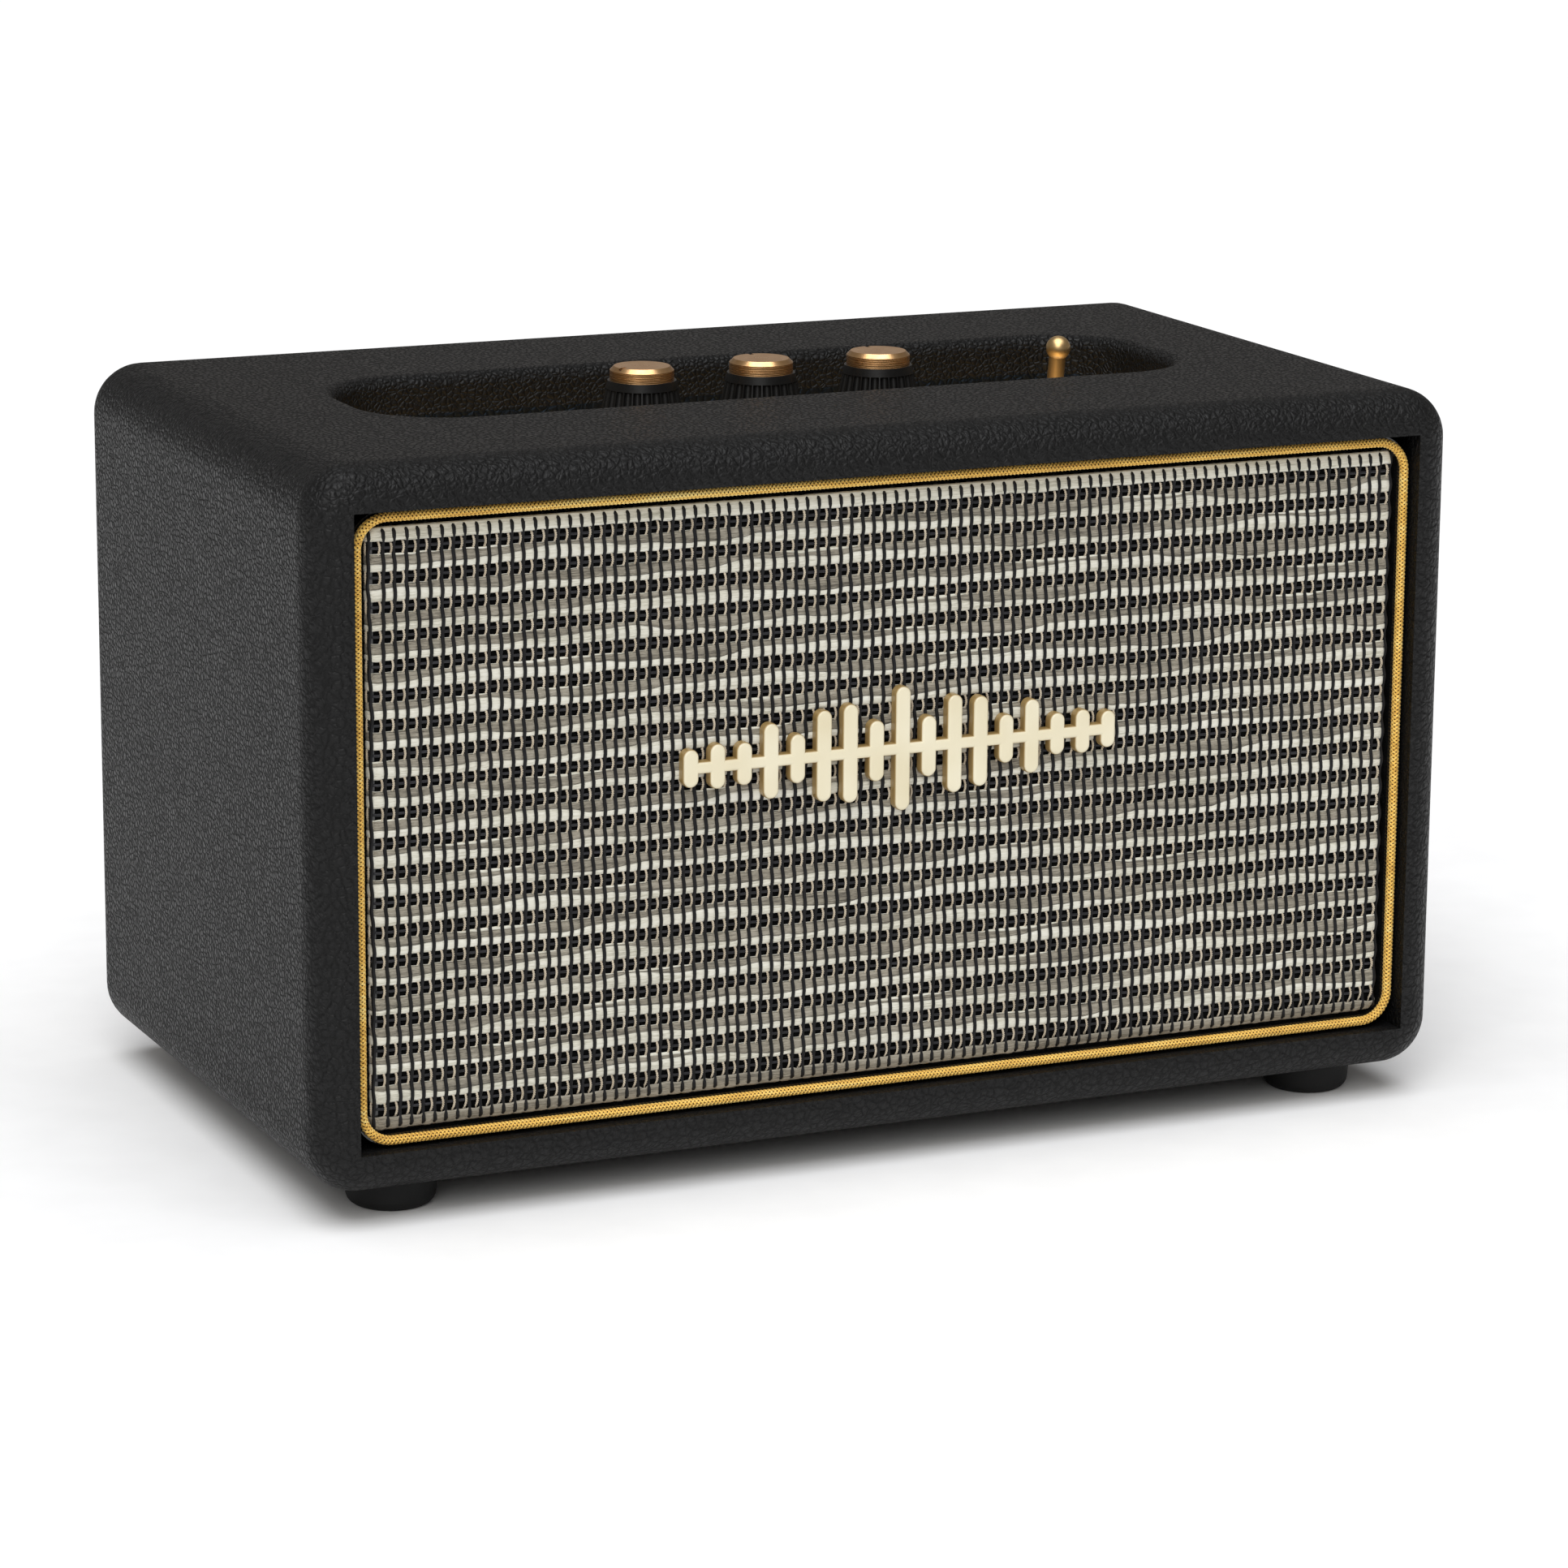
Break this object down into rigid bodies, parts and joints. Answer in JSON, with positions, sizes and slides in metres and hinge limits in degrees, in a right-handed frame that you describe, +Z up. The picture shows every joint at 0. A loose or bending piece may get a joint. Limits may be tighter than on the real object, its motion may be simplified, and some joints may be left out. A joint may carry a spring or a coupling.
{
  "type": "compact active loudspeaker",
  "caption": "Small powered loudspeaker styled as a guitar amplifier: vinyl-covered cabinet, woven grille with gold piping, brass knobs and toggle sunk in its top.",
  "frame": {"origin": "on the surface the feet stand on, under the middle of the cabinet", "axes": "+X to the right seen from the front, -Y out of the front, +Z up"},
  "size_m": [0.265, 0.15, 0.1645],
  "materials": {
    "mdf": "raw fibreboard, fine matt grain",
    "black_mdf": "fibreboard sprayed matt black",
    "vinyl": "black pebble-grained vinyl covering, low sheen",
    "foot_rubber": "matt black rubber",
    "black_plastic": "moulded black plastic, fine texture",
    "knob_plastic": "black moulded skirt, satin",
    "rim_black": "black lacquered grille frame",
    "brass": "turned and brushed brass",
    "nickel": "nickel plate",
    "zinc_steel": "zinc-plated steel",
    "black_steel": "black painted pressed steel",
    "black_screw": "black oxide steel",
    "ferrite": "sintered ferrite, matt dark grey",
    "aluminium": "extruded aluminium, satin",
    "circuit_board": "green solder mask on glass epoxy",
    "red_lens": "red translucent indicator lens",
    "wire_jacket": "black insulated leads",
    "wadding": "white polyester damping felt",
    "spider_cloth": "impregnated corrugated cotton",
    "paper_cone": "black coated paper",
    "dome_cloth": "black doped silk",
    "copper_coil": "enamelled copper winding on a former",
    "fret_cloth": "woven fret cloth: off-white and grey ribbons between black cords",
    "gold_piping": "gold braided piping cord",
    "cream_plastic": "cream moulded plastic"
  },
  "bodies": {
    "cabinet": {"top_board": "mdf", "bottom_board": "mdf", "left_board": "mdf", "right_board": "mdf", "vinyl_covering": "vinyl", "feet": "foot_rubber", "front_baffle": "black_mdf", "rear_battens": "mdf", "rear_panel": "black_mdf", "bass_port": "black_plastic", "mains_inlet": "black_plastic", "inlet_pins": "nickel", "control_tray": "black_plastic", "control_plate": "brass", "control_board": "circuit_board", "potentiometers": "nickel", "panel_nuts": "nickel", "toggle_switch": "nickel", "aux_jack": "black_plastic", "indicator_lenses": "red_lens", "tact_switches": "black_plastic", "woofer_basket": "black_steel", "woofer_yoke": "zinc_steel", "woofer_magnet": "ferrite", "woofer_surround": "foot_rubber", "woofer_spider": "spider_cloth", "tweeter_faceplates": "black_plastic", "tweeter_magnets": "zinc_steel", "standoffs": "nickel", "main_board": "circuit_board", "heat_sink": "aluminium", "transformer": "zinc_steel", "wiring": "wire_jacket", "wadding": "wadding", "grille_sockets": "black_plastic", "case_screws": "black_screw", "driver_screws": "black_screw"},
    "volume_knob": {"volume_skirt": "knob_plastic", "volume_cap": "brass", "volume_shaft": "nickel"},
    "bass_knob": {"bass_skirt": "knob_plastic", "bass_cap": "brass", "bass_shaft": "nickel"},
    "treble_knob": {"treble_skirt": "knob_plastic", "treble_cap": "brass", "treble_shaft": "nickel"},
    "power_toggle": {"toggle_lever": "brass"},
    "source_button": {"source_button": "brass"},
    "pair_button": {"pair_button": "brass"},
    "cone": {"woofer_cone": "paper_cone", "woofer_dust_cap": "paper_cone", "voice_coil": "copper_coil"},
    "left_dome": {"tweeter_dome_left": "dome_cloth"},
    "right_dome": {"tweeter_dome_right": "dome_cloth"},
    "grille": {"grille_frame": "rim_black", "grille_cloth": "fret_cloth", "grille_piping": "gold_piping", "grille_badge": "cream_plastic", "grille_pins": "black_plastic"}
  },
  "joints": [
    {"name": "volume_turn", "type": "hinge", "parent": "cabinet", "child": "volume_knob", "pos_m": [-0.0285, 0.0015, 0.155], "axis": [0, 0, 1], "range_deg": [-260, 40]},
    {"name": "bass_turn", "type": "hinge", "parent": "cabinet", "child": "bass_knob", "pos_m": [0, 0.0015, 0.155], "axis": [0, 0, 1], "range_deg": [-150, 150]},
    {"name": "treble_turn", "type": "hinge", "parent": "cabinet", "child": "treble_knob", "pos_m": [0.0285, 0.0015, 0.155], "axis": [0, 0, 1], "range_deg": [-150, 150]},
    {"name": "power_flick", "type": "hinge", "parent": "cabinet", "child": "power_toggle", "pos_m": [0.0725, 0.0015, 0.15], "axis": [1, 0, 0], "range_deg": [-18, 0]},
    {"name": "source_press", "type": "slide", "parent": "cabinet", "child": "source_button", "axis": [0, 0, -1], "range_m": [0, 0.0008], "stiffness_N_per_m": 600},
    {"name": "pair_press", "type": "slide", "parent": "cabinet", "child": "pair_button", "axis": [0, 0, -1], "range_m": [0, 0.0008], "stiffness_N_per_m": 600},
    {"name": "cone_stroke", "type": "slide", "parent": "cabinet", "child": "cone", "axis": [0, -1, 0], "range_m": [-0.003, 0.003], "stiffness_N_per_m": 1500, "deforming": ["woofer_surround", "woofer_spider"]},
    {"name": "left_dome_stroke", "type": "slide", "parent": "cabinet", "child": "left_dome", "axis": [0, -1, 0], "range_m": [-0.00025, 0.00025], "stiffness_N_per_m": 1500},
    {"name": "right_dome_stroke", "type": "slide", "parent": "cabinet", "child": "right_dome", "axis": [0, -1, 0], "range_m": [-0.00025, 0.00025], "stiffness_N_per_m": 1500},
    {"name": "grille_pull", "type": "slide", "parent": "cabinet", "child": "grille", "axis": [0, -1, 0], "range_m": [0, 0.03]}
  ]
}
